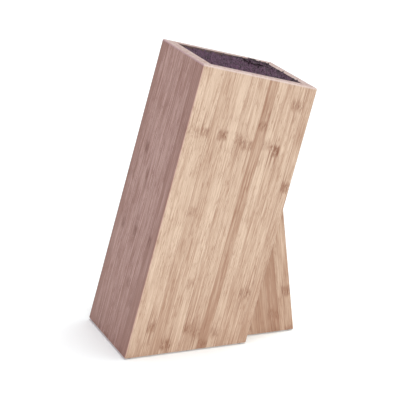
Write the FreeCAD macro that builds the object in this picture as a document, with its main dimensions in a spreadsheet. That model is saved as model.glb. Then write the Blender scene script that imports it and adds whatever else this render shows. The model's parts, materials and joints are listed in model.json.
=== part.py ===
"""Universal knife block: a leaning bamboo case on a wedge foot, with a lift-out bristle insert.

Row frame, in millimetres: +Z up, +X the way the case leans, towards the person who draws a knife,
-Y to that person's left. The origin is on the table, in the middle of the case's footprint box.

Places are given along the leaning case: "rise" runs up the case from its lower back edge, and
"depth" runs square to that, from the outside of the back board to the outside of the front board.
"""

import FreeCAD, Part
import math
import os

import Sketcher
from FreeCAD import Rotation, Vector

# Driving dimensions: alias, value in millimetres or degrees, meaning.
SIZES = [
    ("case_width", 100, "outside of the case, side to side"),
    ("case_depth", 102, "outside of the case, square to its lean"),
    ("case_length", 250, "back board, from its lower edge to the rim"),
    ("lean_angle", 16, "lean of the case from upright, degrees"),
    ("board", 10, "thickness of every case and foot board"),
    ("edge_radius", 1.2, "rounding of the case's outer edges"),
    ("floor_rise", 27, "underside of the floor board, up the case"),
    ("floor_board", 8, "thickness of the floor board"),
    ("foot_width", 70, "outside of the foot, side to side"),
    ("foot_reach", 49.3, "foot's length on the table, from the case"),
    ("foot_splay", 5.7, "foot's outer face from upright, degrees"),
    ("foot_tip", 1.5, "blunt upper end of the foot"),
    ("foot_radius", 1, "rounding of the foot's outer edges"),
    ("dowel_radius", 2.5, "glued dowels"),
    ("dowel_bite", 6, "dowel's depth in the face of a board"),
    ("dowel_root", 12, "dowel's depth in the edge of a board"),
    ("corner_dowel_first", 62, "lowest corner dowel, up the case"),
    ("corner_dowel_step", 72, "from one corner dowel to the next"),
    ("foot_dowel_first", 48, "lower foot dowel, up the case"),
    ("foot_dowel_step", 30, "from one foot dowel to the next"),
    ("pad_radius", 4, "non-slip pads"),
    ("pad_height", 0.8, "non-slip pads"),
    ("pad_inset", 6, "pad's centre from the side of its board"),
    ("tray_gap", 0.5, "clearance of the tray in the well, each side"),
    ("tray_wall", 1.5, "tray's walls and floor"),
    ("tray_height", 22, "tray's outside height"),
    ("tray_corner", 2.5, "tray's outer corner radius"),
    ("root_gap", 0.2, "clearance of the bristles' root in the tray"),
    ("root_height", 8, "bristles' fused root"),
    ("row_edge", 0.6, "outermost bristles to the tray's wall"),
    ("row_thickness", 4.6, "one row of bristles, pressed together"),
    ("tip_below_rim", 0.5, "bristle tips under the case's rim"),
]
CORNER_DOWELS = 3
FOOT_DOWELS = 2
BRISTLE_ROWS = 8
SIDES = {"left": "-", "right": ""}

# Places and sizes that follow from the sheet.
LEAN = "Sizes.lean_angle"
WELL_WIDTH = "(Sizes.case_width - 2 * Sizes.board)"
WELL_DEPTH = "(Sizes.case_depth - 2 * Sizes.board)"
FRONT_BOARD = "(Sizes.case_depth - Sizes.board)"
WELL_FLOOR = "(Sizes.floor_rise + Sizes.floor_board)"
ROOT_FLOOR = f"({WELL_FLOOR} + Sizes.tray_wall)"
ROW_FLOOR = f"({ROOT_FLOOR} + Sizes.root_height)"
TRAY_SIDE = "(Sizes.tray_gap + Sizes.tray_wall)"
ROOT_SIDE = f"({TRAY_SIDE} + Sizes.root_gap)"
ROW_SIDE = f"({TRAY_SIDE} + Sizes.row_edge)"
ROW_PITCH = f"({WELL_WIDTH} - 2 * {ROW_SIDE} - Sizes.row_thickness) / {BRISTLE_ROWS - 1}"
HALF_FOOTPRINT = f"(Sizes.case_length * sin({LEAN}) + Sizes.case_depth * cos({LEAN})) / 2"
CASE_FRONT = f"Sizes.case_depth / cos({LEAN})"

doc = FreeCAD.newDocument("knife_block")
subparts = {}


def add_sizes():
    """Writes the driving dimensions to the document's spreadsheet."""
    sheet = doc.addObject("Spreadsheet::Sheet", "Sizes")
    for row, (alias, value, meaning) in enumerate(SIZES, 1):
        sheet.set(f"A{row}", alias)
        sheet.set(f"B{row}", str(value))
        sheet.set(f"C{row}", meaning)
        sheet.setAlias(f"B{row}", alias)
    doc.recompute()


def keep(name, thing):
    """Makes an object the sub-part of that name."""
    thing.Label = name
    subparts[name] = thing


# ---------------------------------------------------------------- placing


def place(thing, x, across, z, turn, axis=Vector(0, 1, 0)):
    """Puts an object's own origin at a place in the row frame, turned about an axis."""
    thing.Placement.Rotation = Rotation(axis, 1)
    thing.setExpression("Placement.Base.x", x)
    thing.setExpression("Placement.Base.y", across)
    thing.setExpression("Placement.Base.z", z)
    thing.setExpression("Placement.Rotation.Angle", turn)


def place_on_table(thing, forward, across, height="Sizes.pad_height"):
    """Puts an upright object forward of the case's lower back edge."""
    place(thing, f"{forward} - {HALF_FOOTPRINT}", across, height, "0")


def place_in_case(thing, rise, depth, across, turn=LEAN, **axis):
    """Puts an object at a rise and a depth, turned to stand along the case."""
    x = f"({rise}) * sin({LEAN}) + ({depth}) * cos({LEAN}) - {HALF_FOOTPRINT}"
    z = f"({rise}) * cos({LEAN}) - ({depth}) * sin({LEAN}) + Sizes.pad_height"
    place(thing, x, across, z, turn, **axis)


# ---------------------------------------------------------------- profiles


def add_outline(body, points):
    """Sketches a closed outline of straight lines in the body's XZ plane.

    The points are rough places for the corners; the bound constraints give the outline its size.
    """
    sketch = body.newObject("Sketcher::SketchObject", f"{body.Name}_outline")
    plane = next(f for f in body.Origin.OriginFeatures if f.Role == "XZ_Plane")
    sketch.AttachmentSupport = (plane, "")
    sketch.MapMode = "FlatFace"
    for start, end in zip(points, points[1:] + points[:1]):
        sketch.addGeometry(Part.LineSegment(Vector(*start, 0), Vector(*end, 0)), False)
    for line in range(len(points)):
        sketch.addConstraint(Sketcher.Constraint("Coincident", line, 2, (line + 1) % len(points), 1))
    sketch.addConstraint(Sketcher.Constraint("Horizontal", 0))
    return sketch


def bind(sketch, name, expression, kind, *where):
    """Adds a named constraint that follows an expression; a value in where only starts it off."""
    index = sketch.addConstraint(Sketcher.Constraint(kind, *where))
    sketch.renameConstraint(index, name)
    sketch.setExpression(f"Constraints.{name}", expression)


def pad_across(body, sketch, width):
    """Pads a profile to both sides of its plane."""
    pad = body.newObject("PartDesign::Pad", f"{body.Name}_pad")
    pad.Profile = sketch
    pad.Midplane = True
    pad.setExpression("Length", width)
    doc.recompute()
    return pad


def flat_face(shape, direction):
    """The flat face that lies furthest along a direction and looks that way."""
    faces = [f for f in shape.Faces if f.normalAt(0, 0).dot(direction) > 0.999]
    return max(faces, key=lambda f: f.CenterOfMass.dot(direction))


def round_between(body, base, pairs, radius):
    """Rounds each edge in which the two faces of a pair meet."""
    shape = base.Shape
    names = []
    for first, second in pairs:
        sides = flat_face(shape, first).Edges, flat_face(shape, second).Edges
        for number, edge in enumerate(shape.Edges, 1):
            if all(any(edge.isSame(other) for other in side) for side in sides):
                names.append(f"Edge{number}")
    fillet = body.newObject("PartDesign::Fillet", f"{body.Name}_round")
    fillet.Base = (base, names)
    fillet.setExpression("Radius", radius)
    doc.recompute()


def directions():
    """Outward directions of the case's and the foot's faces."""
    lean = math.radians(float(doc.Sizes.get("lean_angle")))
    splay = math.radians(float(doc.Sizes.get("foot_splay")))
    rim = Vector(math.sin(lean), 0, math.cos(lean))
    front = Vector(math.cos(lean), 0, -math.sin(lean))
    return {
        "rim": rim,
        "front": front,
        "back": -front,
        "left": Vector(0, -1, 0),
        "right": Vector(0, 1, 0),
        "bottom": Vector(0, 0, -1),
        "foot_front": Vector(math.cos(splay), 0, math.sin(splay)),
    }


def outer_pairs(faces, ends):
    """Every two of a board's outer faces, and each of them with each of its cut ends."""
    out = directions()
    names = [*faces, *ends]
    return [(out[a], out[b]) for i, a in enumerate(faces) for b in names[i + 1 :]]


# ---------------------------------------------------------------- boards


def case_board(name, depth, thickness, width, across, *outer_faces):
    """A board of the case, square at the rim and sawn level where it stands on the table."""
    body = doc.addObject("PartDesign::Body", name)
    sketch = add_outline(body, [(0, 0), (12, 0), (80, 240), (68, 242)])
    bottom, front, top, back = range(4)
    sketch.addConstraint(Sketcher.Constraint("Coincident", bottom, 1, -1, 1))
    sketch.addConstraint(Sketcher.Constraint("Parallel", front, back))
    sketch.addConstraint(Sketcher.Constraint("Perpendicular", top, front))
    bind(sketch, "lean", f"90 - {LEAN}", "Angle", front, math.radians(74))
    bind(sketch, "thickness", thickness, "Distance", bottom, 1, front, 12)
    sawn_rise = f"({depth}) * tan({LEAN})"
    bind(sketch, "length", f"Sizes.case_length - {sawn_rise}", "Distance", back, 245)
    pad = pad_across(body, sketch, width)
    round_between(body, pad, outer_pairs(outer_faces, ["rim", "bottom"]), "Sizes.edge_radius")
    place_in_case(body, sawn_rise, depth, across, "0")
    return body


def foot_profile(body, points):
    """Sketches a piece of the foot: along the table, up the outer face, over the tip, down the case."""
    sketch = add_outline(body, points)
    bottom, front, tip, case_side = range(4)
    sketch.addConstraint(Sketcher.Constraint("Perpendicular", tip, front))
    bind(sketch, "reach", "Sizes.foot_reach", "DistanceX", -1, 1, bottom, 2, 49)
    bind(sketch, "splay", "90 + Sizes.foot_splay", "Angle", front, math.radians(96))
    bind(sketch, "lean", f"-90 - {LEAN}", "Angle", case_side, math.radians(-106))
    bind(sketch, "tip", "Sizes.foot_tip", "Distance", tip, 1.5)
    return sketch


def foot_cheek(name, across, side):
    """A side of the foot: a triangle between the case and the table."""
    body = doc.addObject("PartDesign::Body", name)
    sketch = foot_profile(body, [(0, 0), (49, 0), (37, 120), (35, 119)])
    sketch.addConstraint(Sketcher.Constraint("Coincident", 0, 1, -1, 1))
    pad = pad_across(body, sketch, "Sizes.board")
    round_between(body, pad, outer_pairs([side, "foot_front"], ["bottom"]), "Sizes.foot_radius")
    place_on_table(body, CASE_FRONT, across)
    return body


def foot_front_board():
    """The foot's front board, between the cheeks, with its upper end cut along the case."""
    body = doc.addObject("PartDesign::Body", "foot_front_board")
    sketch = foot_profile(body, [(39, 0), (49, 0), (37, 120), (35, 119), (29, 100)])
    bottom, front, _, case_side, back = range(5)
    sketch.addConstraint(Sketcher.Constraint("PointOnObject", bottom, 1, -1))
    sketch.addConstraint(Sketcher.Constraint("PointOnObject", -1, 1, case_side))
    sketch.addConstraint(Sketcher.Constraint("Parallel", front, back))
    bind(sketch, "thickness", "Sizes.board", "Distance", bottom, 1, front, 10)
    pad = pad_across(body, sketch, "Sizes.foot_width - 2 * Sizes.board")
    round_between(body, pad, outer_pairs(["foot_front"], ["bottom"]), "Sizes.foot_radius")
    place_on_table(body, CASE_FRONT, "0")
    return body


def floor_board():
    """The floor of the well, glued in between the four case boards."""
    board = doc.addObject("Part::Box", "floor_board")
    board.setExpression("Length", WELL_DEPTH)
    board.setExpression("Width", WELL_WIDTH)
    board.setExpression("Height", "Sizes.floor_board")
    place_in_case(board, "Sizes.floor_rise", "Sizes.board", f"-{WELL_WIDTH} / 2")
    return board


# ---------------------------------------------------------------- dowels and pads


def corner_dowels(side, sign, board, depth):
    """A row of dowels from a side board's inner face into the edge of the back or front board."""
    row = []
    for i in range(CORNER_DOWELS):
        pin = new_dowel(f"{side}_{board}_dowel_{i + 1}")
        rise = f"Sizes.corner_dowel_first + {i} * Sizes.corner_dowel_step"
        across = f"{sign}({WELL_WIDTH} / 2 + Sizes.dowel_bite)"
        inward = Vector(float(f"{sign}1"), 0, 0)
        place_in_case(pin, rise, depth, across, "90", axis=inward)
        row.append(pin)
    return row


def foot_dowels(side, sign):
    """A row of dowels from the front board's outer face into a cheek of the foot."""
    row = []
    for i in range(FOOT_DOWELS):
        pin = new_dowel(f"foot_{side}_dowel_{i + 1}")
        rise = f"Sizes.foot_dowel_first + {i} * Sizes.foot_dowel_step"
        depth = "Sizes.case_depth - Sizes.dowel_bite"
        across = f"{sign}(Sizes.foot_width - Sizes.board) / 2"
        place_in_case(pin, rise, depth, across, f"90 + {LEAN}")
        row.append(pin)
    return row


def new_dowel(name):
    pin = doc.addObject("Part::Cylinder", name)
    pin.setExpression("Radius", "Sizes.dowel_radius")
    pin.setExpression("Height", "Sizes.dowel_bite + Sizes.dowel_root")
    return pin


def dowels():
    """All dowels, by the two boards that each row joins."""
    rows = {}
    for side, sign in SIDES.items():
        rows[f"{side}_board", "back_board"] = corner_dowels(side, sign, "back", "Sizes.board / 2")
        front = "Sizes.case_depth - Sizes.board / 2"
        rows[f"{side}_board", "front_board"] = corner_dowels(side, sign, "front", front)
        rows[f"foot_{side}_cheek", "front_board"] = foot_dowels(side, sign)
    return rows


def drilled(name, board, pins):
    """A board with a blind hole for each of its dowels."""
    drill = doc.addObject("Part::MultiFuse", f"{name}_drill")
    drill.Shapes = pins
    cut = doc.addObject("Part::Cut", name)
    cut.Base = board
    cut.Tool = drill
    return cut


def pads():
    """Non-slip pads: one under each corner of the case, and two under the foot's front board."""
    places = {
        "back": (f"Sizes.board / 2 / cos({LEAN})", "Sizes.case_width"),
        "front": (f"(Sizes.case_depth - Sizes.board / 2) / cos({LEAN})", "Sizes.case_width"),
        "foot": (f"{CASE_FRONT} + Sizes.foot_reach - Sizes.board / 2", "Sizes.foot_width"),
    }
    for where, (forward, width) in places.items():
        for side, sign in SIDES.items():
            pad = doc.addObject("Part::Cylinder", f"{where}_{side}_pad")
            pad.setExpression("Radius", "Sizes.pad_radius")
            pad.setExpression("Height", "Sizes.pad_height")
            place_on_table(pad, forward, f"{sign}({width} / 2 - Sizes.pad_inset)", "0")
            keep(pad.Name, pad)


# ---------------------------------------------------------------- bristle insert


def tray():
    """An open tray that holds the bristles' root and lifts out of the well with them."""
    body = doc.addObject("PartDesign::Body", "insert_tray")
    sketch = body.newObject("Sketcher::SketchObject", "tray_outline")
    plane = next(f for f in body.Origin.OriginFeatures if f.Role == "XY_Plane")
    sketch.AttachmentSupport = (plane, "")
    sketch.MapMode = "FlatFace"
    corners = [(-39, -39), (39, -39), (39, 39), (-39, 39)]
    for start, end in zip(corners, corners[1:] + corners[:1]):
        sketch.addGeometry(Part.LineSegment(Vector(*start, 0), Vector(*end, 0)), False)
    for line in range(4):
        sketch.addConstraint(Sketcher.Constraint("Coincident", line, 2, (line + 1) % 4, 1))
        sketch.addConstraint(Sketcher.Constraint(("Horizontal", "Vertical")[line % 2], line))
    sketch.addConstraint(Sketcher.Constraint("Symmetric", 0, 1, 2, 1, -1, 1))
    bind(sketch, "depth", f"{WELL_DEPTH} - 2 * Sizes.tray_gap", "Distance", 0, 78)
    bind(sketch, "width", f"{WELL_WIDTH} - 2 * Sizes.tray_gap", "Distance", 1, 78)
    pad = body.newObject("PartDesign::Pad", "tray_pad")
    pad.Profile = sketch
    pad.setExpression("Length", "Sizes.tray_height")
    doc.recompute()

    upright = [
        f"Edge{i}"
        for i, edge in enumerate(pad.Shape.Edges, 1)
        if abs(edge.tangentAt(edge.FirstParameter).z) > 0.999
    ]
    corner = body.newObject("PartDesign::Fillet", "tray_corners")
    corner.Base = (pad, upright)
    corner.setExpression("Radius", "Sizes.tray_corner")
    doc.recompute()

    top = max(range(len(corner.Shape.Faces)), key=lambda i: corner.Shape.Faces[i].CenterOfMass.z)
    hollow = body.newObject("PartDesign::Thickness", "tray_hollow")
    hollow.Base = (corner, [f"Face{top + 1}"])
    hollow.Reversed = True
    hollow.Join = 1
    hollow.setExpression("Value", "Sizes.tray_wall")
    place_in_case(body, WELL_FLOOR, "Sizes.case_depth / 2", "0")
    return body


def bristles():
    """The bristles' fused root, and the bristles above it, pressed together into rows."""
    root = doc.addObject("Part::Box", "bristle_root")
    root.setExpression("Length", f"{WELL_DEPTH} - 2 * {ROOT_SIDE}")
    root.setExpression("Width", f"{WELL_WIDTH} - 2 * {ROOT_SIDE}")
    root.setExpression("Height", "Sizes.root_height")
    root_start = f"{ROOT_SIDE} - {WELL_WIDTH} / 2"
    place_in_case(root, ROOT_FLOOR, f"Sizes.board + {ROOT_SIDE}", root_start)
    keep("bristle_root", root)
    for i in range(BRISTLE_ROWS):
        row = doc.addObject("Part::Box", f"bristle_row_{i + 1}")
        row.setExpression("Length", f"{WELL_DEPTH} - 2 * {ROW_SIDE}")
        row.setExpression("Width", "Sizes.row_thickness")
        row.setExpression("Height", f"Sizes.case_length - Sizes.tip_below_rim - {ROW_FLOOR}")
        row_start = f"{ROW_SIDE} - {WELL_WIDTH} / 2 + {i} * {ROW_PITCH}"
        place_in_case(row, ROW_FLOOR, f"Sizes.board + {ROW_SIDE}", row_start)
        keep(row.Name, row)


# ---------------------------------------------------------------- the whole block


def boards():
    """Every board that has dowel holes, not yet drilled, by name."""
    side = "(Sizes.case_width - Sizes.board) / 2"
    cheek = "(Sizes.foot_width - Sizes.board) / 2"
    ends = ("Sizes.board", WELL_WIDTH, "0")
    planks = {
        "back_board": case_board("back_plank", "0", *ends, "back"),
        "front_board": case_board("front_plank", FRONT_BOARD, *ends, "front"),
    }
    for name, sign in SIDES.items():
        where = ("0", "Sizes.case_depth", "Sizes.board", sign + side)
        planks[f"{name}_board"] = case_board(f"{name}_plank", *where, name, "back", "front")
        planks[f"foot_{name}_cheek"] = foot_cheek(f"{name}_cheek_plank", sign + cheek, name)
    return planks


def check():
    """Stops if any object of the document failed, or a sub-part's shape is missing or wrong."""
    for thing in doc.Objects:
        if {"Invalid", "Error"} & set(thing.State):
            raise RuntimeError(f"{thing.Name}: {thing.State}")
    for name, thing in subparts.items():
        shape = thing.Shape
        if shape.isNull() or not shape.isValid() or len(shape.Solids) != 1:
            raise RuntimeError(f"{name} is not one valid solid")


def main():
    add_sizes()
    planks = boards()
    pins = dowels()
    doc.recompute()
    for name, plank in planks.items():
        own = [pin for pair, row in pins.items() if name in pair for pin in row]
        board = drilled(name, plank, own)
        doc.recompute()
        if not board.Shape.Volume < plank.Shape.Volume:
            raise RuntimeError(f"{name}: its dowel holes cut nothing")
        keep(name, board)
    keep("floor_board", floor_board())
    keep("foot_front_board", foot_front_board())
    for row in pins.values():
        for pin in row:
            keep(pin.Name, pin)
    pads()
    keep("insert_tray", tray())
    bristles()
    doc.recompute()
    check()
    os.makedirs("parts", exist_ok=True)
    for name, thing in subparts.items():
        thing.Shape.exportStep(f"parts/{name}.step")
        print(f"{name}: {thing.Shape.Volume / 1000:.2f} cm3")


main()
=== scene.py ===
"""Looks of the universal knife block: strip-laminated bamboo boards, a lift-out bristle insert, pads.

Metres, in the row frame: +Z up, +X the way the case leans, -Y to the left of the person in front of
it. "Along" is up the leaning case, "depth" is square to that, from the back board to the front board.
"""

import json
import math

import bpy
import numpy as np
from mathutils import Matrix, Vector


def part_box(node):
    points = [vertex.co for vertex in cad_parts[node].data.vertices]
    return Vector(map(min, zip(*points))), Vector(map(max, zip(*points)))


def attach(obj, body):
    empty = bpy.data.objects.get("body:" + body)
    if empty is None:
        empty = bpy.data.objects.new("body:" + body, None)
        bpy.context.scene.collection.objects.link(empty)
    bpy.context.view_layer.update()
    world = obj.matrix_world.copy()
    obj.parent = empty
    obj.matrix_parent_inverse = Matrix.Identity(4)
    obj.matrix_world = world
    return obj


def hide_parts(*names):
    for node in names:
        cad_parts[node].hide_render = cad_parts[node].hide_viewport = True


MM = 0.001
LEFT = Vector((0, -1, 0))
RIGHT = -LEFT

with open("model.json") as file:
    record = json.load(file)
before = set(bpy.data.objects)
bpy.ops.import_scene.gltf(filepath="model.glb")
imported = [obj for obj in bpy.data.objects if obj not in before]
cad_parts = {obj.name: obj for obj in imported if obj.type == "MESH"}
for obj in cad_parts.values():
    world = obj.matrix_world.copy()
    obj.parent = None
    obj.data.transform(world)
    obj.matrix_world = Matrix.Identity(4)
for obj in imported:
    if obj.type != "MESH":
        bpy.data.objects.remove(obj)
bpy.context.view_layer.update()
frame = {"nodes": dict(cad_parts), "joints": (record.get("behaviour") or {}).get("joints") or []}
nodes = frame["nodes"]
rng = np.random.default_rng(7)

ALONG = Vector(frame["joints"][0]["axis"]).normalized()
DEPTH = Vector((ALONG.z, 0, -ALONG.x))


def span(node, axis):
    """How far a CAD node reaches along an axis: lowest and highest, in metres."""
    places = np.array([v.co for v in nodes[node].data.vertices]) @ np.array(axis)
    return float(places.min()), float(places.max())


def outer_normal(node, towards):
    """The direction that a node's largest flat face on one side looks in."""
    faces = [p for p in nodes[node].data.polygons if p.normal.dot(towards) > 0.9]
    return max(faces, key=lambda p: p.area).normal.copy()


# ---------------------------------------------------------------- shader nodes


class Shader:
    """One material, with short ways to add nodes. A value is a number or another node's socket."""

    def __init__(self, name):
        self.material = bpy.data.materials.new(name)
        self.material.use_nodes = True
        self.tree = self.material.node_tree
        self.surface = self.tree.nodes["Principled BSDF"]

    def node(self, kind, **settings):
        made = self.tree.nodes.new(kind)
        for setting, value in settings.items():
            setattr(made, setting, value)
        return made

    def feed(self, socket, value):
        if isinstance(value, bpy.types.NodeSocket):
            self.tree.links.new(value, socket)
        else:
            socket.default_value = value

    def math(self, operation, *values, clamp=False):
        made = self.node("ShaderNodeMath", operation=operation, use_clamp=clamp)
        for socket, value in zip(made.inputs, values):
            self.feed(socket, value)
        return made.outputs[0]

    def object_place(self):
        return self.node("ShaderNodeTexCoord").outputs["Object"]

    def object_normal(self):
        return self.node("ShaderNodeTexCoord").outputs["Normal"]

    def dot(self, vector, axis):
        made = self.node("ShaderNodeVectorMath", operation="DOT_PRODUCT")
        self.feed(made.inputs[0], vector)
        made.inputs[1].default_value = axis
        return made.outputs["Value"]

    def combine(self, x, y, z):
        made = self.node("ShaderNodeCombineXYZ")
        for socket, value in zip(made.inputs, (x, y, z)):
            self.feed(socket, value)
        return made.outputs[0]

    def noise(self, vector, detail=2.0, roughness=0.5, distortion=0.0):
        """Noise from 0 to 1 about 0.5, with features about one unit of the vector across."""
        made = self.node("ShaderNodeTexNoise")
        self.feed(made.inputs["Vector"], vector)
        made.inputs["Scale"].default_value = 1.0
        made.inputs["Detail"].default_value = detail
        made.inputs["Roughness"].default_value = roughness
        made.inputs["Distortion"].default_value = distortion
        return made.outputs["Fac"]

    def smooth(self, value, low, high, to_low=0.0, to_high=1.0):
        """A smooth step from one value to another."""
        made = self.node("ShaderNodeMapRange", interpolation_type="SMOOTHSTEP")
        for socket, number in zip(made.inputs, (value, low, high, to_low, to_high)):
            self.feed(socket, number)
        return made.outputs[0]

    def mix(self, share, first, second, blend="MIX"):
        made = self.node("ShaderNodeMix", data_type="RGBA", blend_type=blend)
        self.feed(made.inputs[0], share)
        self.feed(made.inputs[6], first)
        self.feed(made.inputs[7], second)
        return made.outputs[2]

    def bump(self, height, distance, strength):
        made = self.node("ShaderNodeBump")
        made.inputs["Strength"].default_value = strength
        made.inputs["Distance"].default_value = distance
        self.feed(made.inputs["Height"], height)
        return made.outputs[0]


def srgb(red, green, blue):
    """A colour as seen on screen, 0 to 255, as the linear colour that shaders take."""
    screen = [c / 255 for c in (red, green, blue)]
    linear = [c / 12.92 if c < 0.04045 else ((c + 0.055) / 1.055) ** 2.4 for c in screen]
    return (*linear, 1.0)


# ---------------------------------------------------------------- bamboo

PALE = srgb(212, 188, 165)
TAN = srgb(166, 131, 108)
END_PALE = srgb(207, 192, 187)
END_ROSE = srgb(184, 150, 142)
END_DOT = srgb(156, 122, 103)
STREAK_BROWN = srgb(150, 110, 86)
NODE_BROWN = srgb(126, 82, 60)
SEAM_BROWN = srgb(139, 100, 78)
# Painted shade: a mauve shade on every face that looks to the back.
PAINTED_BACK_SHADE = (0.97, 0.87, 0.97, 1.0)
# Painted shade: a dark shade on the boards' inner faces, down in the well.
PAINTED_INSIDE_SHADE = (0.34, 0.28, 0.28, 1.0)

# In mm. A strip without a growth node has NO_NODE as its node's place, which is off the board.
NO_NODE = -60
STRIP_WIDTHS = 6.5, 10.5
NODE_SPACING = 170, 260
PLY = 5.0
FLOOR_PLY = 4.0
PLY_SHIFT = 3.4
# Painted shade: how far up from its lower end each board darkens.
BASE_SHADE_HEIGHT = 130.0
NODE_WANDER = 7.0
BUNDLES_PER_MM = 1.15
CLOUD_SIZE = 3.2
# In mm down from the rim: where the paler band under it begins, and where it is at full strength.
PALE_BAND_FROM, PALE_BAND_TO = 1.7, 0.7
# How far the pattern jumps between strips, for each mm across, and between plies.
STRIP_JUMP = 41.3
PLY_JUMP = 57.1
BUMP_DEPTH = 0.12 * MM
# In mm, what random strips have to cover: the boards' own sizes, or a little more on the foot.
CASE_DEPTH = 102
INSIDE_DEPTH = 82
INSIDE_WIDTH = 80
CHEEK_WIDTH = 56
FOOT_INSIDE = 50
FOOT_LENGTH = 128

# The left board's strips, from the back edge to the front: width in mm, tint from pale 0 to tan 1,
# the places of up to two growth nodes in mm along the board, and how strongly those show.
LEFT_STRIPS = [
    (11.6, 0.20, 195, NO_NODE, 0.50),
    (7.8, 0.24, 197, 30, 0.75),
    (7.6, 0.46, 130, NO_NODE, 0.45),
    (8.6, 0.36, 197, 17, 1.00),
    (7.4, 0.14, 72, NO_NODE, 0.45),
    (8.0, 0.36, 196, 33, 0.75),
    (8.0, 0.30, 192, 31, 0.70),
    (8.6, 0.72, 211, 22, 0.80),
    (7.4, 0.18, 196, 33, 0.55),
    (8.4, 0.42, 192, NO_NODE, 1.25),
    (10.6, 0.34, 232, 71, 0.80),
    (8.0, 0.46, 164, NO_NODE, 0.95),
]
# The back board's strips, from its right edge to its left.
BACK_STRIPS = [
    (7.4, 0.54, 137, NO_NODE, 0.80),
    (7.0, 0.42, 94, NO_NODE, 0.95),
    (1.2, 0.00, NO_NODE, NO_NODE, 0.00),
    (6.6, 0.60, 162, NO_NODE, 1.15),
    (7.6, 0.44, NO_NODE, NO_NODE, 0.00),
    (1.3, 0.04, NO_NODE, NO_NODE, 0.00),
    (6.4, 0.54, 143, NO_NODE, 0.90),
    (7.0, 0.40, 95, NO_NODE, 1.05),
    (1.2, 0.00, NO_NODE, NO_NODE, 0.00),
    (6.6, 0.58, 203, NO_NODE, 0.50),
    (7.4, 0.44, 55, NO_NODE, 0.80),
    (1.3, 0.04, NO_NODE, NO_NODE, 0.00),
    (6.2, 0.56, NO_NODE, NO_NODE, 0.00),
    (6.2, 0.46, 42, NO_NODE, 0.80),
    (6.6, 0.88, 96, NO_NODE, 1.20),
]
# The foot's left cheek, from its outer edge inwards.
CHEEK_STRIPS = [
    (8.0, 0.44, 36, NO_NODE, 1.00),
    (4.2, 0.34, NO_NODE, NO_NODE, 0.00),
    (9.8, 0.76, 18, NO_NODE, 0.70),
    (8.0, 0.58, 64, NO_NODE, 0.40),
    (7.0, 0.54, NO_NODE, NO_NODE, 0.00),
    (7.5, 0.38, 12, NO_NODE, 0.60),
    (9.0, 0.46, NO_NODE, NO_NODE, 0.00),
]


def random_strips(width, length, tint):
    """Strips with random widths, tints and growth nodes for a board that size, in mm."""
    strips = []
    while sum(s[0] for s in strips) < width:
        first = float(rng.uniform(NO_NODE, length))
        second = first + float(rng.uniform(*NODE_SPACING))
        own_tint = float(np.clip(rng.normal(tint, 0.2), 0, 1))
        own_width = float(rng.uniform(*STRIP_WIDTHS))
        strength = float(rng.uniform(0.3, 1.0))
        strips.append((own_width, own_tint, first, second, strength))
    return strips


def strip_lookup(shader, across, strips):
    """For a place across the board in mm: its strip's tint, node places, node strength and first edge."""
    total = sum(s[0] for s in strips)
    share = shader.math("DIVIDE", across, total)
    starts = np.cumsum([0.0] + [s[0] for s in strips[:-1]]) / total

    def ramp(colours):
        made = shader.node("ShaderNodeValToRGB")
        made.color_ramp.interpolation = "CONSTANT"
        stops = made.color_ramp.elements
        stops.remove(stops[1])
        for i, (start, colour) in enumerate(zip(starts, colours)):
            stop = stops[0] if i == 0 else stops.new(float(start))
            stop.position = float(start)
            stop.color = colour
        shader.feed(made.inputs[0], share)
        parts = shader.node("ShaderNodeSeparateColor")
        shader.feed(parts.inputs[0], made.outputs[0])
        return parts.outputs

    nodes_at = [(first / total, second / total) for _, _, first, second, _ in strips]
    places = ramp([(start, *at, 1) for start, at in zip(starts, nodes_at)])
    edge, first, second = (shader.math("MULTIPLY", part, total) for part in list(places)[:3])
    looks = ramp([(tint, strength, 0, 1) for _, tint, _, _, strength in strips])
    return looks[0], first, second, looks[1], edge


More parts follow.
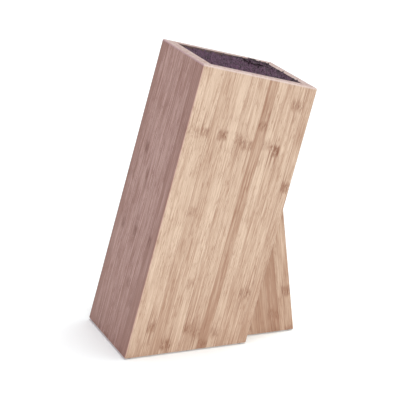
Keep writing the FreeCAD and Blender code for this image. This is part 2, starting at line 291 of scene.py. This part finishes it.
class Bamboo(Shader):
    """Strip-laminated bamboo on one board: strips, seams, fibres, growth nodes and end grain.

    along is the grain, across runs over the strips, and outward is square to the board's outer face.
    a, b and c are a place's distances along the grain, over the strips and in from the outer face,
    in mm from where the board starts.
    """

    def __init__(self, board, along, across, outward, strips, contrast, ply):
        super().__init__("bamboo_" + board.rsplit("_", 1)[0])
        self.board, self.contrast, self.ply = board, contrast, ply
        self.along, self.across, self.outward = along, across, outward
        self.place, self.normal = self.object_place(), self.object_normal()
        self.a, self.b, self.c = [self.millimetres(axis) for axis in (along, across, -outward)]
        inner = self.math("GREATER_THAN", self.c, ply)
        shifted = self.math("ADD", self.b, self.math("MULTIPLY", inner, PLY_SHIFT))
        looked_up = strip_lookup(self, shifted, strips)
        self.tint, self.first, self.second, self.strength, self.edge = looked_up
        self.in_strip = self.math("SUBTRACT", shifted, self.edge)

        # Each strip and ply is another piece of culm, so its pattern starts somewhere else.
        self.own_a = self.math("ADD", self.a, self.math("MULTIPLY", self.edge, STRIP_JUMP))
        self.own_c = self.math("ADD", self.c, self.math("MULTIPLY", inner, PLY_JUMP))
        self.fine = self.grain(30, 1.1, detail=2.0)
        self.thread = self.grain(44, 1.2, detail=2.0, roughness=0.6)
        self.hair = self.grain(7, 0.5, detail=2.0, roughness=0.6)

    def millimetres(self, axis):
        """The place along an axis, in mm from the board's lowest point on it."""
        low, _ = span(self.board, axis)
        scaled = self.math("MULTIPLY", self.dot(self.place, axis), 1 / MM)
        return self.math("SUBTRACT", scaled, low / MM)

    def grain(self, stretch, width, **more):
        """Streaks that length and width, in mm."""
        places = ((self.own_a, stretch), (self.b, width), (self.own_c, width))
        vector = self.combine(*[self.math("DIVIDE", place, size) for place, size in places])
        return self.noise(vector, **more)

    def facing(self, axis):
        """How squarely the surface looks along an axis, either way: 0 to 1."""
        return self.math("ABSOLUTE", self.dot(self.normal, axis))

    def face_colour(self):
        """The strip's tint, moved by the streaks, with thin brown threads and short flecks."""
        broad = self.grain(80, 3.0, detail=3.0, distortion=0.3)
        blotch = self.grain(34, 8.0, detail=2.0, distortion=0.8)
        shade = self.tint
        for streaks, share in ((broad, 0.6), (self.fine, 1.7), (blotch, 0.4)):
            share *= self.contrast
            shade = self.math("ADD", shade, self.math("MULTIPLY_ADD", streaks, share, -share / 2))

        # The strips' sides are darker than their faces, and each board gets painted shade towards its
        # lower end.
        on_edge = self.smooth(self.facing(self.across), 0.80, 0.97, 0.0, 0.50)
        base_shade = self.smooth(self.a, 0.0, BASE_SHADE_HEIGHT, 0.30, 0.0)
        shade = self.math("ADD", self.math("ADD", shade, on_edge), base_shade, clamp=True)
        colour = self.mix(shade, PALE, TAN)

        threads = self.math("MULTIPLY", self.smooth(self.thread, 0.55, 0.62), 0.60 * self.contrast)
        threads = self.math("MULTIPLY", threads, self.math("MULTIPLY_ADD", self.tint, 1.0, 0.5))
        flecks = self.math("MULTIPLY", self.smooth(self.hair, 0.53, 0.64), 0.60 * self.contrast)
        lines = self.math("MAXIMUM", threads, flecks)
        lines = self.math("MULTIPLY", lines, self.smooth(blotch, 0.38, 0.58, 0.45, 1.1))

        # The culm's skin is a brown band down one side of a dark strip.
        skin = self.smooth(self.in_strip, 0.4, 3.2, 0.75, 0.0)
        skin = self.math("MULTIPLY", skin, self.math("MULTIPLY", self.tint, self.tint))
        return self.mix(self.math("MAXIMUM", lines, skin, clamp=True), colour, STREAK_BROWN)

    def add_growth_nodes(self, colour):
        """A brown smudge over the strip, darker streaks in it, and tails along the fibres.

        Gives the colour with them on it, and how strong the streaks are.
        """
        smudged = self.smooth(self.grain(9, 2.6, detail=3.0, roughness=0.6), 0.36, 0.56)
        streaked = self.grain(5, 1.1, detail=3.0, roughness=0.65, distortion=0.6)
        streaked = self.smooth(streaked, 0.48, 0.58)
        tailed = self.smooth(self.thread, 0.52, 0.64)
        wander = self.grain(60, 4.0, detail=1.0)
        wander = self.math("MULTIPLY_ADD", wander, NODE_WANDER, -NODE_WANDER / 2)
        smudge = core = 0.0
        for at in (self.first, self.second):
            away = self.math("ADD", self.math("SUBTRACT", self.a, at), wander)
            away = self.math("ABSOLUTE", away)
            patch = self.math("MULTIPLY", self.smooth(away, 2.5, 6.5, 1.0, 0.0), smudged)
            dark = self.math("MULTIPLY", self.smooth(away, 1.0, 5.0, 1.0, 0.0), streaked)
            tail = self.math("MULTIPLY", self.smooth(away, 4.0, 24.0, 0.7, 0.0), tailed)
            smudge = self.math("MAXIMUM", smudge, patch)
            core = self.math("MAXIMUM", core, self.math("MAXIMUM", dark, tail))
        heavy = self.math("MULTIPLY_ADD", self.strength, 1.6, -1.4, clamp=True)
        heavy = self.math("MULTIPLY", smudge, heavy)
        smudge = self.math("MULTIPLY", smudge, self.math("MULTIPLY", self.strength, 0.60), clamp=True)
        core = self.math("MULTIPLY", core, self.math("MULTIPLY", self.strength, 0.80), clamp=True)
        core = self.math("MAXIMUM", core, heavy)
        return self.mix(core, self.mix(smudge, colour, STREAK_BROWN), NODE_BROWN), core

    def glue_lines(self):
        """Where glue shows: between strips, and between the two plies."""
        seam = self.smooth(self.in_strip, 0.05, 0.45, 1.0, 0.0)
        ply_gap = self.math("ABSOLUTE", self.math("SUBTRACT", self.c, self.ply))
        return self.math("MAXIMUM", seam, self.smooth(ply_gap, 0.05, 0.22, 1.0, 0.0))

    def end_grain(self, seam):
        """The colour of the ends, pale with rose clouds, and the dark dots of the fibre bundles."""
        dots = self.node("ShaderNodeTexVoronoi")
        dots.inputs["Scale"].default_value = 1.0
        places = [self.math("MULTIPLY", way, BUNDLES_PER_MM) for way in (self.b, self.c)]
        self.feed(dots.inputs["Vector"], self.combine(*places, self.edge))
        dot = self.smooth(dots.outputs["Distance"], 0.18, 0.42, 1.0, 0.0)
        places = [self.math("DIVIDE", way, CLOUD_SIZE) for way in (self.b, self.c)]
        cloud = self.noise(self.combine(*places, self.edge), detail=2.0)
        colour = self.mix(self.smooth(cloud, 0.46, 0.60, 0.0, 0.75), END_PALE, END_ROSE)
        colour = self.mix(self.math("MULTIPLY", dot, 0.50), colour, END_DOT)
        colour = self.mix(self.math("MULTIPLY", self.tint, 0.35), colour, TAN)
        colour = self.mix(self.math("MULTIPLY", seam, 0.55), colour, SEAM_BROWN)
        return colour, dot

    def add_wear_and_highlight(self, colour, end, facing_along):
        """Paler rounded edges, partly wear and partly a painted highlight, and a paler band just under
        the rim.
        """
        flat = facing_along
        for axis in (self.across, self.outward):
            flat = self.math("MAXIMUM", flat, self.facing(axis))
        # Painted highlight, with some wear: rounded edges are paler.
        colour = self.mix(self.smooth(flat, 0.80, 0.985, 0.25, 0.0), colour, PALE)
        low, high = span(self.board, self.along)
        length = (high - low) / MM
        pale_band = self.smooth(self.a, length - PALE_BAND_FROM, length - PALE_BAND_TO, 0.0, 0.7)
        pale_band = self.math("MULTIPLY", pale_band, self.math("SUBTRACT", 1.0, end))
        return self.mix(pale_band, colour, END_PALE)

    def add_painted_shade(self, colour):
        """Painted shade: a mauve shade on what looks to the back, and a dark one on the board's inner
        face.
        """
        # Painted shade: mauve on faces that look to the back.
        back_shade = self.smooth(self.dot(self.normal, -DEPTH), 0.35, 0.75)
        colour = self.mix(back_shade, colour, PAINTED_BACK_SHADE, "MULTIPLY")
        # Painted shade: the board's inner face, down in the well, is darker.
        inside_shade = self.smooth(self.dot(self.normal, self.outward), -0.75, -0.95)
        return self.mix(inside_shade, colour, PAINTED_INSIDE_SHADE, "MULTIPLY")

    def build(self):
        """Puts the layers together, and gives the material."""
        colour, core = self.add_growth_nodes(self.face_colour())
        seam = self.glue_lines()
        seam_share = self.math("MULTIPLY", seam, self.math("MULTIPLY_ADD", self.tint, 0.6, 0.2))
        colour = self.mix(seam_share, colour, SEAM_BROWN)
        end_colour, dot = self.end_grain(seam)
        facing_along = self.facing(self.along)
        end = self.smooth(facing_along, 0.55, 0.80)
        colour = self.mix(end, colour, end_colour)
        colour = self.add_painted_shade(self.add_wear_and_highlight(colour, end, facing_along))
        self.feed(self.surface.inputs["Base Color"], colour)

        rough = self.math("MULTIPLY_ADD", self.fine, 0.22, 0.36)
        rough = self.math("ADD", rough, self.math("MULTIPLY", end, 0.15))
        self.feed(self.surface.inputs["Roughness"], rough)
        self.surface.inputs["Specular IOR Level"].default_value = 0.35

        height = self.math("MULTIPLY_ADD", self.hair, 0.6, self.fine)
        end_dots = self.math("MULTIPLY", dot, end)
        for groove, depth in ((seam, 1.5), (core, 0.8), (end_dots, 0.8)):
            height = self.math("SUBTRACT", height, self.math("MULTIPLY", groove, depth))
        self.feed(self.surface.inputs["Normal"], self.bump(height, BUMP_DEPTH, 0.5))
        return self.material


def dress(node, material):
    """Gives a CAD node one material."""
    slots = nodes[node].data.materials
    if slots:
        for i in range(len(slots)):
            slots[i] = material
    else:
        slots.append(material)


def dress_board(board, along, across, outward, strips, contrast=1.0, ply=PLY):
    """Gives one board a bamboo material of its own."""
    dress(board, Bamboo(board, along, across, outward, strips, contrast, ply).build())


def dress_boards():
    """Bamboo on every board, each with its own strips."""
    low, high = span("back_board", ALONG)
    length = (high - low) / MM
    dress_board("left_board", ALONG, DEPTH, LEFT, LEFT_STRIPS)
    dress_board("right_board", ALONG, DEPTH, RIGHT, random_strips(CASE_DEPTH, length, 0.36))
    dress_board("back_board", ALONG, LEFT, -DEPTH, BACK_STRIPS, contrast=1.55)
    dress_board("front_board", ALONG, LEFT, DEPTH, random_strips(INSIDE_WIDTH, length, 0.40))
    floor = random_strips(INSIDE_DEPTH, INSIDE_WIDTH, 0.45)
    dress_board("floor_board", LEFT, DEPTH, ALONG, floor, ply=FLOOR_PLY)

    outward = outer_normal("foot_front_board", Vector((1, 0, 0)))
    grain = Vector((-outward.z, 0, outward.x))
    dress_board("foot_left_cheek", grain, -outward, LEFT, CHEEK_STRIPS)
    cheek = random_strips(CHEEK_WIDTH, FOOT_LENGTH, 0.5)
    dress_board("foot_right_cheek", grain, -outward, RIGHT, cheek)
    front = random_strips(FOOT_INSIDE, FOOT_LENGTH, 0.42)
    dress_board("foot_front_board", grain, LEFT, outward, front)


# ---------------------------------------------------------------- new objects


def link(name, data):
    """A new object with that data, in the scene."""
    made = bpy.data.objects.new(name, data)
    bpy.context.scene.collection.objects.link(made)
    return made


def piece(name, points, faces, material):
    """A new mesh object: its four-sided faces are smooth, and its caps are flat."""
    mesh = bpy.data.meshes.new(name)
    mesh.from_pydata(points, [], faces)
    mesh.polygons.foreach_set("use_smooth", [len(p.vertices) == 4 for p in mesh.polygons])
    mesh.materials.append(material)
    mesh.update()
    return link(name, mesh)


# ---------------------------------------------------------------- bristles

BRISTLE_RADIUS = 0.58 * MM
BRISTLE_PITCH = 1.52 * MM
BRISTLE_SIDES = 5
BRISTLE_DARK = srgb(28, 17, 15)
BRISTLE_VIOLET = srgb(95, 64, 88)
ROOT_INSET = 1.0 * MM
WALL_GAP = 0.65 * MM
TIP_GAP = 0.7 * MM
# How far the outermost bristles stay from the well's walls at the rim, as (depth, across).
BACK_SLUMP = 3.4 * MM, 0.6 * MM
FRONT_SLUMP = 0.7 * MM, 0.6 * MM
# The tips' height from the rim at the back, how much it rises to the front and drops at a wall.
TIPS_AT_BACK = -1.6 * MM
TIPS_RISE = 1.5 * MM
TIPS_DROP = 0.3 * MM
DROP_REACH = 4.5 * MM
# How far from a wall the bristles get painted shade.
SHADE_REACH = 6 * MM
# The share of each bristle's height at each point of its centre line, and where its tip leans from.
HEIGHTS = 0.0, 0.12, 0.4, 0.7, 0.88, 0.96, 1.0
LEAN_FROM = 0.88
LOOSE_RADIUS = 0.40 * MM
LOOSE_COUNT = 36
LOOSE_STEPS = 18
LOOSE_GAP = 0.6 * MM
LOOSE_CORNER = 0.80, 0.80
LOOSE_SPREAD = 5.0 * MM, 7.0 * MM


def lattice(low, high, pitch):
    """Close-packed places in a rectangle, each moved a little from its row."""
    places = []
    row_gap = pitch * math.sqrt(3) / 2
    rows = int((high[1] - low[1]) / row_gap) + 1
    for row in range(rows):
        x = low[0] + (row % 2) * pitch / 2
        while x <= high[0]:
            places.append((x, low[1] + row * row_gap))
            x += pitch
    places = np.array(places) + rng.normal(0, 0.16 * pitch, (len(places), 2))
    return np.clip(places, low, high)


def waves(places, count, length, size):
    """A smooth random push for each place: a sum of waves about that long and that high."""
    push = np.zeros((len(places), 2))
    for _ in range(count):
        heading = rng.uniform(0, math.tau)
        number = np.array([math.cos(heading), math.sin(heading)]) * math.tau
        number = number / (length * rng.uniform(0.7, 1.6))
        swing = np.sin(places @ number + rng.uniform(0, math.tau))
        turn = rng.uniform(0, math.tau)
        push += np.outer(swing, [math.cos(turn), math.sin(turn)])
    return push * size / math.sqrt(count)


def bristle_material():
    """Dark violet drawn plastic, each filament a little different."""
    shader = Shader("bristle_plastic")
    # The tint carries painted shade as well: filaments near the well's walls are darker.
    tint = shader.node("ShaderNodeAttribute", attribute_name="tint").outputs["Fac"]
    place = shader.object_place()
    along = shader.math("MULTIPLY", shader.dot(place, ALONG), 1 / MM)
    own_place = shader.math("MULTIPLY", tint, 900.0)
    streak = shader.noise(shader.combine(shader.math("DIVIDE", along, 6.0), own_place, 0.0))
    shade = shader.math("MULTIPLY_ADD", streak, 0.3, shader.math("MULTIPLY", tint, 0.85), clamp=True)
    colour = shader.mix(shade, BRISTLE_DARK, BRISTLE_VIOLET)
    shader.feed(shader.surface.inputs["Base Color"], colour)
    shader.feed(shader.surface.inputs["Roughness"], shader.math("MULTIPLY_ADD", streak, 0.2, 0.38))
    shader.surface.inputs["Specular IOR Level"].default_value = 0.4
    shader.feed(shader.surface.inputs["Normal"], shader.bump(streak, 0.03 * MM, 0.4))
    return shader.material


def well():
    """The open well's low and high corners, as (depth, across)."""
    low = np.array([span("back_board", DEPTH)[1], span("left_board", RIGHT)[1]])
    high = np.array([span("front_board", DEPTH)[0], span("right_board", RIGHT)[0]])
    return low, high


def bristle_paths():
    """Every bristle's centre line as points, root to tip, and its tint, with painted shade by the walls.
    """
    root_top = span("bristle_root", ALONG)[1]
    rim = span("back_board", ALONG)[1]
    low, high = np.array([span("bristle_root", DEPTH), span("bristle_root", RIGHT)]).T
    low, high = low + ROOT_INSET, high - ROOT_INSET
    roots = lattice(low, high, BRISTLE_PITCH)

    # At the rim the bristles fill the well: they slump to the front, and leave a gap at the back.
    well_low, well_high = well()
    back, front = np.array(BACK_SLUMP), np.array(FRONT_SLUMP)
    share = (roots - low) / (high - low)
    tops = (well_low + back) + share * (well_high - front - well_low - back)
    tops += waves(roots, 6, 16 * MM, 0.7 * MM) + rng.normal(0, 0.35 * MM, roots.shape)
    tops = np.clip(tops, well_low + TIP_GAP, well_high - TIP_GAP)

    # Tips: a little under the rim at the back and beside the walls, and level with it at the front.
    level = TIPS_AT_BACK + TIPS_RISE * share[:, 0]
    to_wall = np.minimum(tops - well_low, well_high - tops).min(1)
    level = level - TIPS_DROP * np.clip(1 - to_wall / DROP_REACH, 0, 1)
    uneven = waves(roots, 7, 9 * MM, 0.8 * MM)[:, 0]
    tips = rim + level + uneven + rng.normal(0, 0.55 * MM, len(roots))
    lean = waves(roots, 7, 11 * MM, 1.0 * MM) + rng.normal(0, 0.6 * MM, roots.shape)

    paths = np.empty((len(roots), len(HEIGHTS), 3))
    bend = waves(roots, 6, 30 * MM, 0.5 * MM)
    for i, h in enumerate(HEIGHTS):
        spread = h**1.5
        leaning = max(0.0, (h - LEAN_FROM) / (1 - LEAN_FROM)) ** 2
        plan = roots * (1 - spread) + tops * spread
        plan = plan + bend * math.sin(math.pi * h) + lean * leaning
        if h > 0.2:
            plan = np.clip(plan, well_low + WALL_GAP, well_high - WALL_GAP)
        rise = root_top + (tips - root_top) * h
        paths[:, i] = np.outer(rise, ALONG) + np.outer(plan[:, 0], DEPTH)
        paths[:, i, 1] += plan[:, 1]
    tint = rng.normal(0.68, 0.26, len(roots)) + 0.60 * waves(roots, 9, 6 * MM, 1.0)[:, 0]
    # Painted shade: filaments close to a wall are darker.
    tint -= 1.1 * np.clip(1 - to_wall / SHADE_REACH, 0, 1)
    tint -= 0.35 * np.clip(share[:, 0] - 0.55, 0, 1)
    return paths, np.clip(tint, 0, 1)


def loose_paths():
    """Centre lines and tints of the curled bristles that lie over the front right corner."""
    count, steps = LOOSE_COUNT, LOOSE_STEPS
    well_low, well_high = well()
    rim = span("back_board", ALONG)[1]
    corner = well_low + (well_high - well_low) * LOOSE_CORNER
    way = np.linspace(0, 1, steps)[:, None]
    paths = np.empty((count, steps, 3))
    for i in range(count):
        middle = corner + rng.normal(0, 1, 2) * LOOSE_SPREAD
        turn = rng.uniform(0, math.tau) + rng.choice([-1, 1]) * rng.uniform(1.6, 3.8) * way
        curl = rng.uniform(2.5, 8.0) * MM * (1 - rng.uniform(0, 0.5) * way)
        plan = middle + curl * np.hstack([np.cos(turn), np.sin(turn)])
        plan = np.clip(plan, well_low + LOOSE_GAP, well_high - LOOSE_GAP)
        arch = rng.uniform(0.4, 1.6) * MM * np.sin(math.pi * way)
        arch = arch - 4.0 * MM * np.clip(1 - way / 0.3, 0, 1) ** 2
        rise = rim - 0.3 * MM + arch
        paths[i] = rise * np.array(ALONG) + plan[:, :1] * np.array(DEPTH)
        paths[i] += plan[:, 1:] * np.array(RIGHT)
    return paths, rng.choice([0.0, 0.1, 0.9], count, p=[0.5, 0.3, 0.2])


def filaments(name, paths, tints, material, radius, beside):
    """One mesh of round filaments along those paths, closed at both ends.

    beside is a direction that no path runs along: it sets where each ring of corners starts.
    """
    count, steps = paths.shape[:2]
    run = np.gradient(paths, axis=1)
    first_axis = np.cross(np.array(beside), run)
    first_axis /= np.linalg.norm(first_axis, axis=2, keepdims=True)
    second_axis = np.cross(run, first_axis)
    second_axis /= np.linalg.norm(second_axis, axis=2, keepdims=True)
    turn = np.linspace(0, math.tau, BRISTLE_SIDES, endpoint=False)[:, None]
    ring = np.cos(turn) * first_axis[:, :, None, :] + np.sin(turn) * second_axis[:, :, None, :]
    own_radius = radius * rng.uniform(0.85, 1.1, (count, 1, 1, 1))
    points = (paths[:, :, None, :] + own_radius * ring).reshape(-1, 3)
    faces = []
    for f in range(count):
        first = f * steps * BRISTLE_SIDES
        for s in range(steps - 1):
            here = first + s * BRISTLE_SIDES
            there = here + BRISTLE_SIDES
            for k in range(BRISTLE_SIDES):
                after = (k + 1) % BRISTLE_SIDES
                faces.append((here + k, here + after, there + after, there + k))
        faces.append(tuple(first + k for k in reversed(range(BRISTLE_SIDES))))
        last = first + (steps - 1) * BRISTLE_SIDES
        faces.append(tuple(last + k for k in range(BRISTLE_SIDES)))
    made = piece(name, points.tolist(), faces, material)
    attribute = made.data.attributes.new("tint", "FLOAT", "POINT")
    attribute.data.foreach_set("value", np.repeat(tints, steps * BRISTLE_SIDES).astype(np.float32))
    return made


def add_bristles():
    """Single bristles in place of each CAD row, and a few loose ones on top."""
    material = bristle_material()
    paths, tints = bristle_paths()
    rows = sorted(n for n in nodes if n.startswith("bristle_row_"))
    edges = [(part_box(a)[1].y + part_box(b)[0].y) / 2 for a, b in zip(rows, rows[1:])]
    which = np.searchsorted(edges, paths[:, 0, 1])
    for i, row in enumerate(rows):
        mine = which == i
        name = f"bristles_{i + 1}"
        made = filaments(name, paths[mine], tints[mine], material, BRISTLE_RADIUS, RIGHT)
        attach(made, "insert")
        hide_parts(row)
    loose = filaments("loose_bristles", *loose_paths(), material, LOOSE_RADIUS, ALONG)
    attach(loose, "insert")


# ---------------------------------------------------------------- small parts


def plastic(name, dark, light, rough, grain):
    """Moulded plastic or rubber with a fine grain, that many mm across."""
    shader = Shader(name)
    scaled = shader.node("ShaderNodeVectorMath", operation="SCALE")
    shader.feed(scaled.inputs[0], shader.object_place())
    scaled.inputs["Scale"].default_value = 1 / (grain * MM)
    cells = shader.noise(scaled.outputs[0], detail=3.0, roughness=0.6)
    shader.feed(shader.surface.inputs["Base Color"], shader.mix(cells, dark, light))
    shader.feed(shader.surface.inputs["Roughness"], shader.math("MULTIPLY_ADD", cells, 0.2, rough))
    shader.feed(shader.surface.inputs["Normal"], shader.bump(cells, 0.05 * MM, 0.5))
    return shader.material


def beech(name, axis):
    """Plain beech with short dark flecks along a dowel."""
    shader = Shader(name)
    place = shader.object_place()
    run = shader.math("MULTIPLY", shader.dot(place, axis), 0.25 / MM)
    across = [Vector(axis).orthogonal().normalized()]
    across.append(Vector(axis).cross(across[0]))
    sides = [shader.math("MULTIPLY", shader.dot(place, v), 2.2 / MM) for v in across]
    grain = shader.noise(shader.combine(run, *sides), detail=3.0)
    colour = shader.mix(grain, srgb(222, 184, 146), srgb(178, 132, 96))
    shader.feed(shader.surface.inputs["Base Color"], colour)
    shader.feed(shader.surface.inputs["Roughness"], shader.math("MULTIPLY_ADD", grain, 0.2, 0.5))
    return shader.material


def revolved(name, centre, profile, material, sides=48):
    """A closed round piece about a vertical axis, from a profile of (radius, height) points."""
    turn = np.linspace(0, math.tau, sides, endpoint=False)
    points = []
    for radius, height in profile:
        for t in turn:
            x, y = centre.x + radius * math.cos(t), centre.y + radius * math.sin(t)
            points.append(Vector((x, y, height)))
    faces = []
    for ring in range(len(profile) - 1):
        low, high = ring * sides, (ring + 1) * sides
        for k in range(sides):
            after = (k + 1) % sides
            faces.append((low + k, low + after, high + after, high + k))
    faces.append(tuple(reversed(range(sides))))
    faces.append(tuple(range((len(profile) - 1) * sides, len(profile) * sides)))
    return piece(name, points, faces, material)


def add_pads():
    """Non-slip pads with a rounded lower edge and a shallow dished underside."""
    rubber = plastic("pad_rubber", srgb(34, 32, 33), srgb(58, 55, 56), 0.6, 0.35)
    for node in sorted(n for n in nodes if n.endswith("_pad")):
        low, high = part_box(node)
        radius, height = (high.x - low.x) / 2, high.z - low.z
        dish = [(0.55 * radius, 0.25 * height), (0.62 * radius, 0.04 * height), (0.70 * radius, 0)]
        edge = [(radius - 0.45 * height, 0), (radius - 0.13 * height, 0.13 * height)]
        profile = dish + edge + [(radius, 0.45 * height), (radius, height)]
        lifted = [(r, low.z + z) for r, z in profile]
        made = revolved(node.replace("_pad", "_non_slip_pad"), (low + high) / 2, lifted, rubber)
        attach(made, "block")
        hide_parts(node)


def dress_small_parts():
    """Plastic on the insert's tray and root, and beech on the dowels."""
    moulded = plastic("tray_plastic", srgb(30, 27, 32), srgb(48, 44, 50), 0.42, 0.5)
    dress("insert_tray", moulded)
    fused = plastic("fused_root", srgb(36, 27, 39), srgb(74, 58, 78), 0.38, 1.3)
    dress("bristle_root", fused)
    across = beech("beech_across", (0, 1, 0))
    forward = beech("beech_forward", DEPTH)
    for node in nodes:
        if "_dowel_" in node:
            dress(node, forward if node.startswith("foot") else across)


# ---------------------------------------------------------------- studio

# The photograph's camera, in metres and degrees: a fit to the corners of the case.
VIEW_TURN = math.radians(20.06)
VIEW_DROP = math.radians(17.35)
VIEW_DISTANCE = 1.589
VIEW_AIM = Vector((0.31, 0, 112.9)) * MM
# In mm.
SENSOR = 36.0
FOCAL = 171.54
# In metres, from the middle to each side of the floor.
FLOOR_REACH = 8.0
SURROUND_COLOUR = (0.95, 0.93, 1.0, 1)
SURROUND_STRENGTH = 0.32
FLOOR_COLOUR = (0.91, 0.965, 0.95, 1)
FLOOR_GLOW = 0.12


def add_camera():
    """The photograph's view: from the left and a little behind, looking slightly down."""
    data = bpy.data.cameras.new("camera")
    data.sensor_width = SENSOR
    data.lens = FOCAL
    data.clip_end = 50
    camera = link("camera", data)
    level = math.cos(VIEW_DROP)
    ahead, aside = math.cos(VIEW_TURN) * level, math.sin(VIEW_TURN) * level
    looking = Vector((aside, ahead, -math.sin(VIEW_DROP)))
    camera.location = VIEW_AIM - looking * VIEW_DISTANCE
    camera.rotation_euler = looking.to_track_quat("-Z", "Y").to_euler()
    bpy.context.scene.camera = camera


def add_sun(name, towards, strength, colour, softness):
    """Parallel light that comes from a direction, with soft shadows that many degrees wide."""
    data = bpy.data.lights.new(name, "SUN")
    data.energy = strength
    data.color = colour
    data.angle = math.radians(softness)
    lamp = link(name, data)
    lamp.rotation_euler = (-Vector(towards)).to_track_quat("-Z", "Y").to_euler()


def add_studio():
    """A plain white floor, three soft suns and a dim even surround.

    The back sun is weak and magenta: it gives the back board its mauve. The floor is slightly green,
    so that the shadow on it comes out grey.
    """
    scene = bpy.context.scene
    scene.view_settings.view_transform = "Standard"
    world = bpy.data.worlds.new("surround")
    world.use_nodes = True
    surround = world.node_tree.nodes["Background"]
    surround.inputs["Color"].default_value = SURROUND_COLOUR
    surround.inputs["Strength"].default_value = SURROUND_STRENGTH
    scene.world = world
    add_sun("overhead", (0.34, 0.0, 0.94), 2.4, (1.0, 0.99, 0.98), 32)
    add_sun("front", (-0.03, -0.96, 0.26), 1.62, (1.0, 0.985, 0.965), 40)
    add_sun("back", (-0.93, 0.0, 0.36), 0.24, (1.0, 0.25, 0.8), 40)

    shader = Shader("studio_floor")
    shader.surface.inputs["Base Color"].default_value = FLOOR_COLOUR
    shader.surface.inputs["Roughness"].default_value = 0.9
    shader.surface.inputs["Specular IOR Level"].default_value = 0.0
    shader.surface.inputs["Emission Color"].default_value = (1, 1, 1, 1)
    shader.surface.inputs["Emission Strength"].default_value = FLOOR_GLOW
    turns = (-1, -1), (1, -1), (1, 1), (-1, 1)
    corners = [(x * FLOOR_REACH, y * FLOOR_REACH, 0) for x, y in turns]
    piece("studio_floor", corners, [(0, 1, 2, 3)], shader.material)


add_camera()
dress_boards()
dress_small_parts()
add_pads()
add_bristles()
add_studio()
